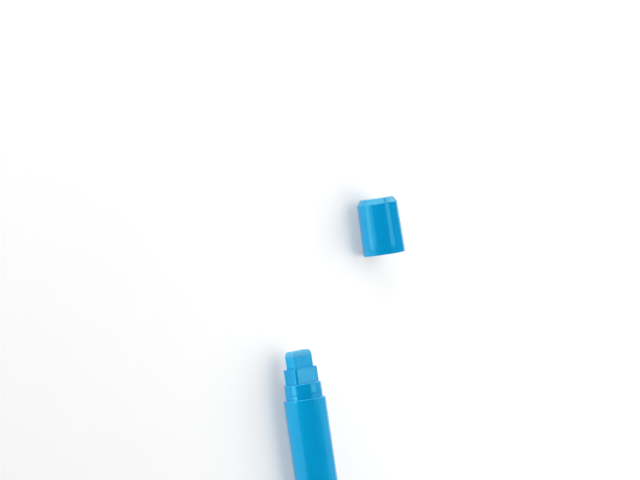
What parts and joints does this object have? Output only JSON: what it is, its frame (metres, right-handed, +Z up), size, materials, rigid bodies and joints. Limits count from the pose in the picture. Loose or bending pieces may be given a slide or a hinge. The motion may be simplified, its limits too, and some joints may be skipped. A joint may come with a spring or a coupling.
{
  "type": "liquid chalk marker",
  "caption": "Round blue liquid chalk marker with a wide block felt nib in a rectangular holder, a press-to-flow ink valve, and a bevelled pull-off cap lying beside it.",
  "frame": {"origin": "centre of the flat tail face, on the marker's axis", "axes": "+X along the marker from its tail to its nib, +Z up with the nib's broad faces level, the marker lying on its side"},
  "size_m": [0.2246, 0.1116, 0.0264],
  "materials": {
    "blue_body": "smooth moulded blue polypropylene",
    "blue_neck": "polished moulded blue plastic",
    "blue_cap": "polished moulded blue polypropylene",
    "felt": "pressed polyester felt soaked with blue ink",
    "seal_rubber": "black nitrile rubber",
    "valve_plastic": "natural white acetal",
    "liner_plastic": "soft natural polyethylene",
    "steel": "stainless steel"
  },
  "bodies": {
    "marker": {"barrel": "blue_body", "tail_plug": "blue_body", "collar": "blue_neck", "collar_o_ring": "seal_rubber", "nib_holder": "blue_neck", "valve_gasket": "seal_rubber", "valve_housing": "valve_plastic", "valve_retainer": "valve_plastic", "valve_spring": "steel"},
    "nib": {"nib": "felt"},
    "valve": {"valve_stem": "valve_plastic", "valve_washer": "seal_rubber"},
    "cap": {"cap_shell": "blue_cap", "cap_liner": "liner_plastic"},
    "mixing_balls": {"mixing_balls": "steel"}
  },
  "joints": [
    {"name": "nib_press", "type": "slide", "parent": "marker", "child": "nib", "axis": [1, 0, 0], "range_m": [-0.003, 0], "stiffness_N_per_m": 1500, "springref_m": 0.002},
    {"name": "valve_open", "type": "slide", "parent": "marker", "child": "valve", "axis": [1, 0, 0], "range_m": [-0.003, 0], "deforming": ["valve_spring"]},
    {"name": "cap_approach", "type": "slide", "parent": "marker", "child": "cap", "axis": [-0.4898, 0.8718, 0], "range_m": [0, 0.09779]},
    {"name": "mixing_balls_roll", "type": "slide", "parent": "marker", "child": "mixing_balls", "axis": [1, 0, 0], "range_m": [-0.015, 0.053]}
  ],
  "couplings": [
    {"joint": "valve_open", "follows": "nib_press", "ratio": 1}
  ]
}
